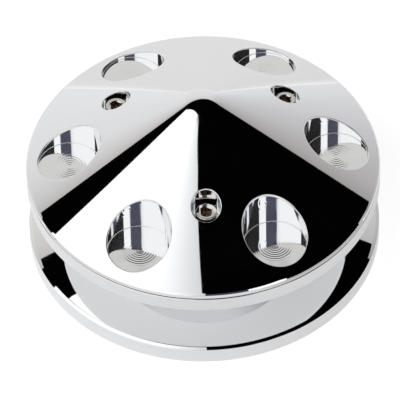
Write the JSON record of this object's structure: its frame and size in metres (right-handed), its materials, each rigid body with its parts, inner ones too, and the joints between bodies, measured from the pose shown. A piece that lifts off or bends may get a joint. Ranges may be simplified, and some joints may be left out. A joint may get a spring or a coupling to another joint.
{
  "type": "belt drive idler pulley",
  "caption": "Polished aluminium single-groove V-belt idler pulley with a conical, pocketed nose cover, turning on a sealed ball bearing and a bolt-through bush.",
  "frame": {"origin": "on the axis of rotation, in the rear face of the mount bush that the bracket carries", "axes": "+Z along the axis of rotation, out of the nose; -Y points through cover_screw_1"},
  "size_m": [0.0762, 0.0762, 0.0431],
  "materials": {
    "polished_aluminium": "mirror polished",
    "stainless_steel": "cold headed, bright",
    "bearing_steel": "ground",
    "ball_steel": "lapped",
    "nitrile_rubber": "moulded, matt",
    "cage_nylon": "moulded, natural",
    "spring_steel": "phosphated, oiled",
    "zinc_plated_steel": "turned and zinc plated"
  },
  "bodies": {
    "hub": {"mount_bush": "zinc_plated_steel", "front_collar": "zinc_plated_steel", "bearing_inner_ring": "bearing_steel"},
    "pulley": {"pulley_body": "polished_aluminium", "nose_cover": "polished_aluminium", "cover_screw_1": "stainless_steel", "cover_screw_2": "stainless_steel", "cover_screw_3": "stainless_steel", "retaining_ring": "spring_steel", "bearing_outer_ring": "bearing_steel", "bearing_seal_front": "nitrile_rubber", "bearing_seal_rear": "nitrile_rubber"},
    "ball_train": {"bearing_cage": "cage_nylon", "bearing_ball_1": "ball_steel", "bearing_ball_2": "ball_steel", "bearing_ball_3": "ball_steel", "bearing_ball_4": "ball_steel", "bearing_ball_5": "ball_steel", "bearing_ball_6": "ball_steel", "bearing_ball_7": "ball_steel", "bearing_ball_8": "ball_steel"}
  },
  "joints": [
    {"name": "pulley_spin", "type": "hinge", "parent": "hub", "child": "pulley", "pos_m": [0, 0, 0.01185], "axis": [0, 0, 1], "continuous": true},
    {"name": "ball_train_orbit", "type": "hinge", "parent": "hub", "child": "ball_train", "pos_m": [0, 0, 0.01185], "axis": [0, 0, 1], "continuous": true}
  ],
  "couplings": [
    {"joint": "ball_train_orbit", "follows": "pulley_spin", "ratio": 0.619}
  ]
}
